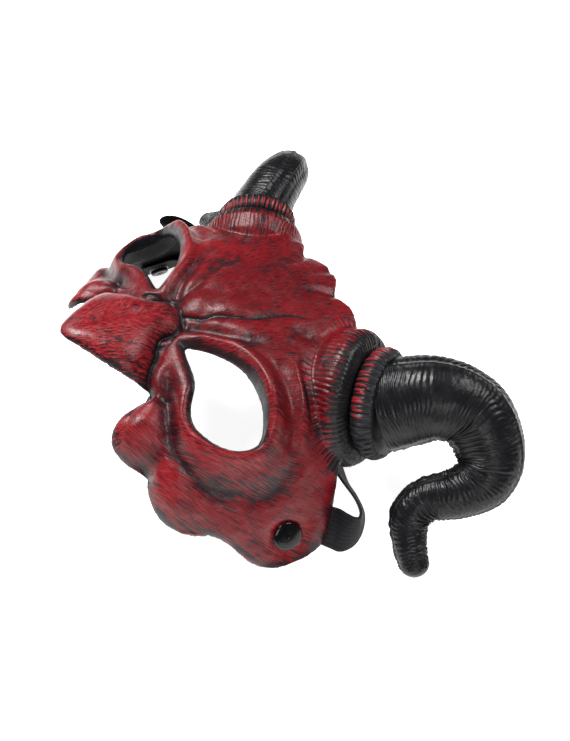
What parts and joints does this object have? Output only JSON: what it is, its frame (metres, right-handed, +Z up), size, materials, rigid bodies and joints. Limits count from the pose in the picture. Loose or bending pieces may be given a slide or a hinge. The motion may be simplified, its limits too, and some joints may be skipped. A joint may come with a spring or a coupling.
{
  "type": "horned half mask",
  "caption": "Moulded half face mask with a pointed nose, open eyes, curled horns in pleated collars and an elastic head strap.",
  "frame": {"origin": "under the middle of the mask's bounding box, on the surface the mask lies on", "axes": "+Z up and the way the face looks, +Y from the nose to the forehead, +X towards the wearer's left"},
  "size_m": [0.2518, 0.1512, 0.0709],
  "materials": {
    "face_red": "dark red paint with a black wash and dry brushing, satin",
    "cuff_black": "black with red dry brushing on the crest, satin",
    "horn_black": "black, satin, wrinkled",
    "rivet_black": "gloss black",
    "washer_steel": "plain",
    "elastic_black": "woven elastic"
  },
  "bodies": {
    "face": {"face_shell": "face_red", "horn_left_cuff": "cuff_black", "horn_right_cuff": "cuff_black", "horn_left_front": "horn_black", "horn_left_back": "horn_black", "horn_right_front": "horn_black", "horn_right_back": "horn_black", "rivet_left_cap": "rivet_black", "rivet_right_cap": "rivet_black", "rivet_left_back": "rivet_black", "rivet_right_back": "rivet_black", "washer_left": "washer_steel", "washer_right": "washer_steel", "strap_end_left": "elastic_black", "strap_end_right": "elastic_black"},
    "strap": {"elastic_strap": "elastic_black"}
  },
  "joints": [
    {"name": "strap_swing", "type": "hinge", "parent": "face", "child": "strap", "pos_m": [0, -0.0204, 0.009], "axis": [-1, 0, 0], "range_deg": [0, 90]}
  ]
}
